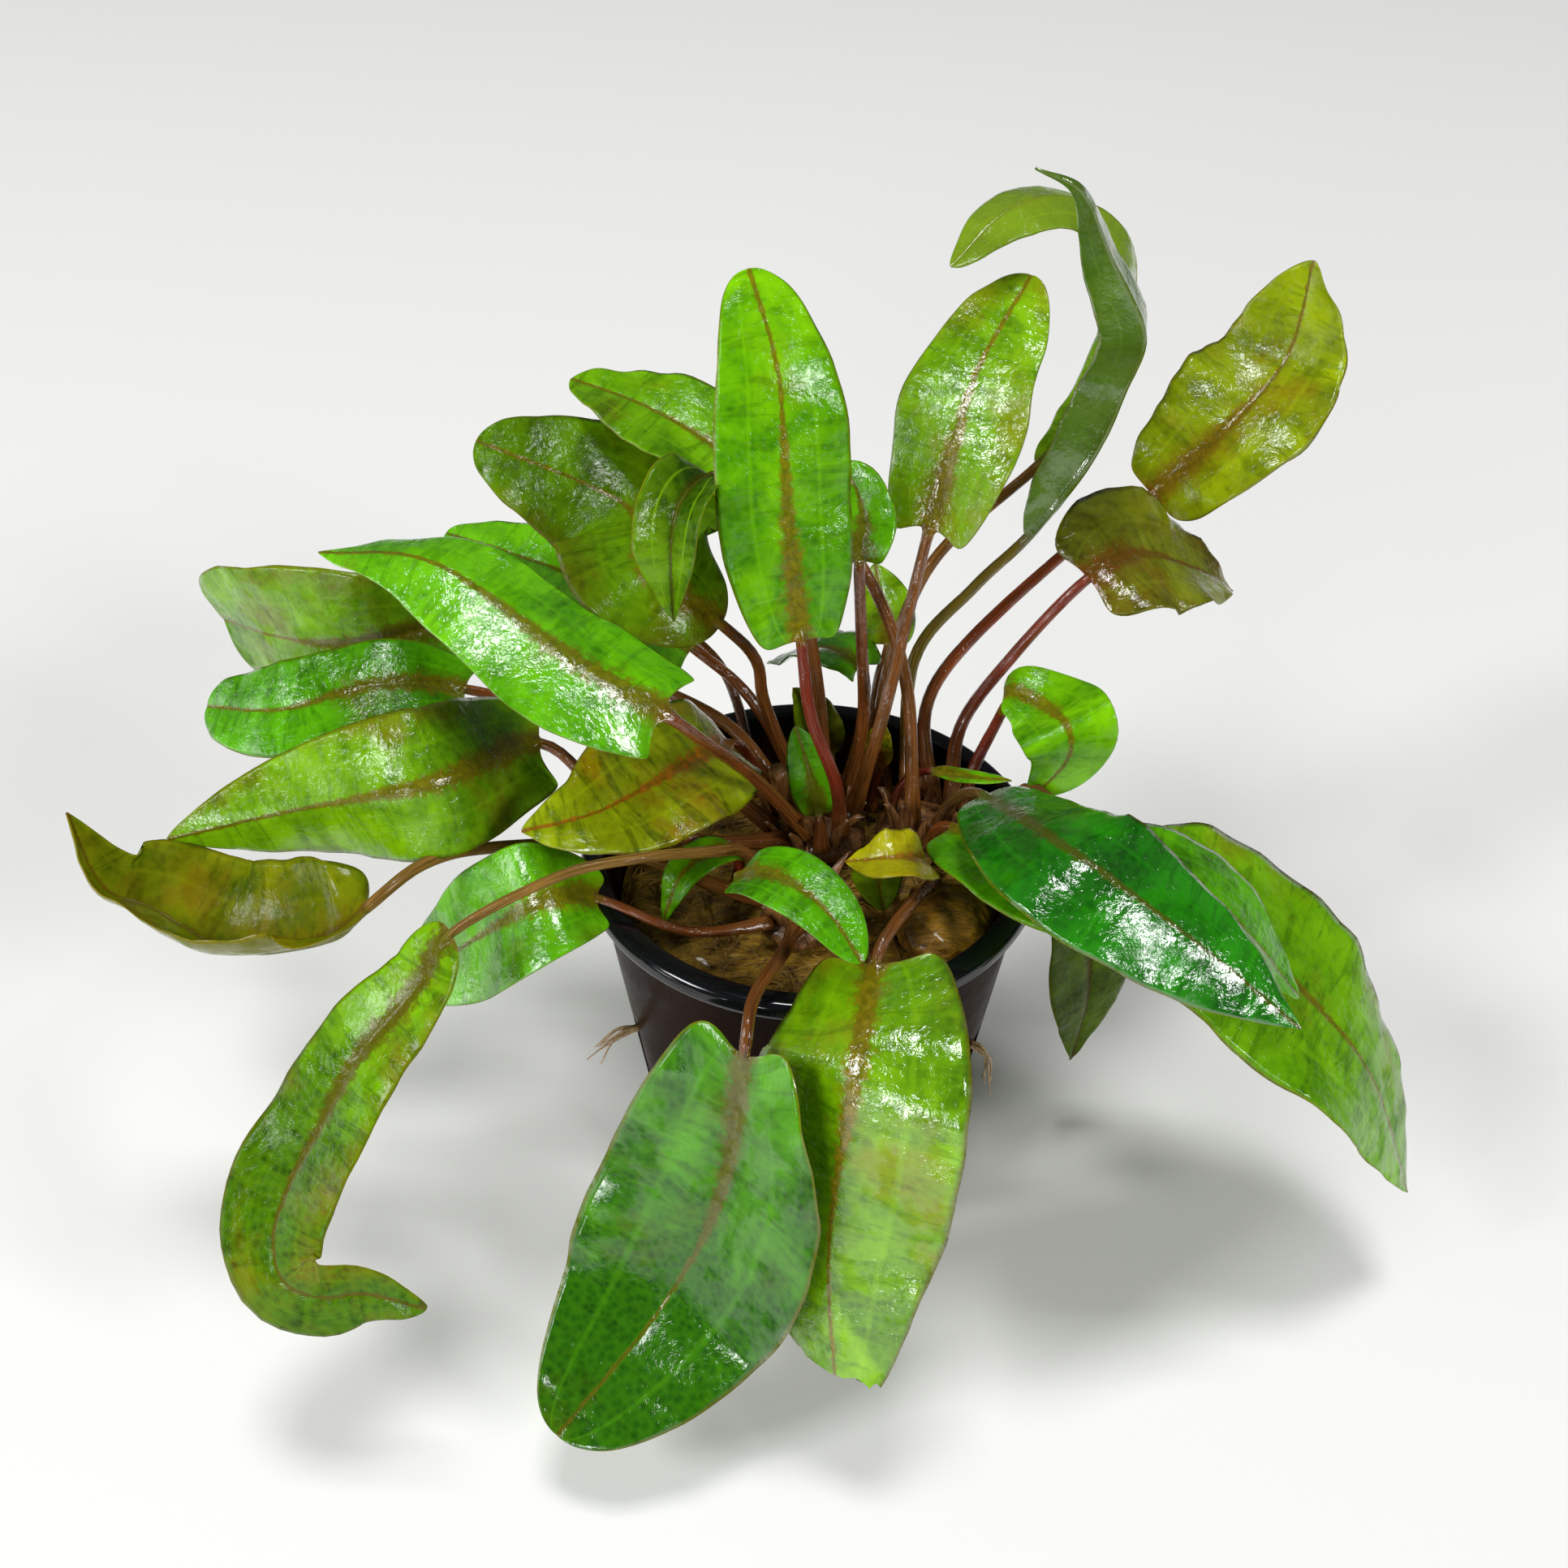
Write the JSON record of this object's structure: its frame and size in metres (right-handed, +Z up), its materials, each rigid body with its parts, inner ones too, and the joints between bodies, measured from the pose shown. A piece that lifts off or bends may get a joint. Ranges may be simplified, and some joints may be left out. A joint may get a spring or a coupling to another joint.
{
  "type": "potted aquatic plant",
  "caption": "Small cryptocoryne for an aquarium: a spreading tuft of wavy, glossy green and olive leaves on thin brown stalks, rooted in rock wool in a round black net pot with upright slots.",
  "frame": {"origin": "middle of the pot's flat base, on the surface that it stands on", "axes": "+Z up; +X along the longest spread of the leaves, to the picture's right; +Y away from its viewer"},
  "size_m": [0.1503, 0.1032, 0.1184],
  "materials": {
    "pot": "glossy black",
    "wool": "wet fibres",
    "crown": "wet and fleshy",
    "leaf_deep": "wet and glossy",
    "leaf_vivid": "wet and glossy",
    "leaf_fresh": "wet and glossy",
    "leaf_olive": "wet and glossy",
    "leaf_dying": "wet and glossy",
    "leaf_grey": "matt underside",
    "old_stalk": "wet and fleshy",
    "root": "wet and pale"
  },
  "bodies": {
    "root": {"pot": "pot", "wool_plug": "wool", "wool_lump": "wool", "crown_left": "crown", "crown_right": "crown", "crown_front": "crown", "leaf_01": "leaf_olive", "leaf_02": "leaf_vivid", "leaf_03": "leaf_vivid", "leaf_04": "leaf_olive", "leaf_05": "leaf_vivid", "leaf_06": "leaf_vivid", "leaf_07": "leaf_deep", "leaf_08": "leaf_fresh", "leaf_09": "leaf_fresh", "leaf_10": "leaf_olive", "leaf_11": "leaf_vivid", "leaf_12": "leaf_vivid", "leaf_13": "leaf_grey", "leaf_14": "leaf_olive", "leaf_15": "leaf_dying", "leaf_16": "leaf_fresh", "leaf_17": "leaf_deep", "leaf_18": "leaf_vivid", "leaf_19": "leaf_olive", "leaf_20": "leaf_fresh", "leaf_21": "leaf_fresh", "leaf_22": "leaf_vivid", "leaf_23": "leaf_dying", "leaf_24": "leaf_vivid", "leaf_25": "leaf_vivid", "leaf_26": "leaf_deep", "leaf_27": "leaf_olive", "leaf_28": "leaf_vivid", "leaf_29": "leaf_dying", "leaf_30": "leaf_fresh", "leaf_31": "leaf_fresh", "leaf_32": "leaf_deep", "leaf_33": "leaf_fresh", "leaf_34": "leaf_olive", "leaf_35": "leaf_vivid", "leaf_36": "leaf_deep", "leaf_37": "leaf_dying", "old_stalk": "old_stalk", "root_right": "root", "root_left": "root"}
  },
  "joints": []
}
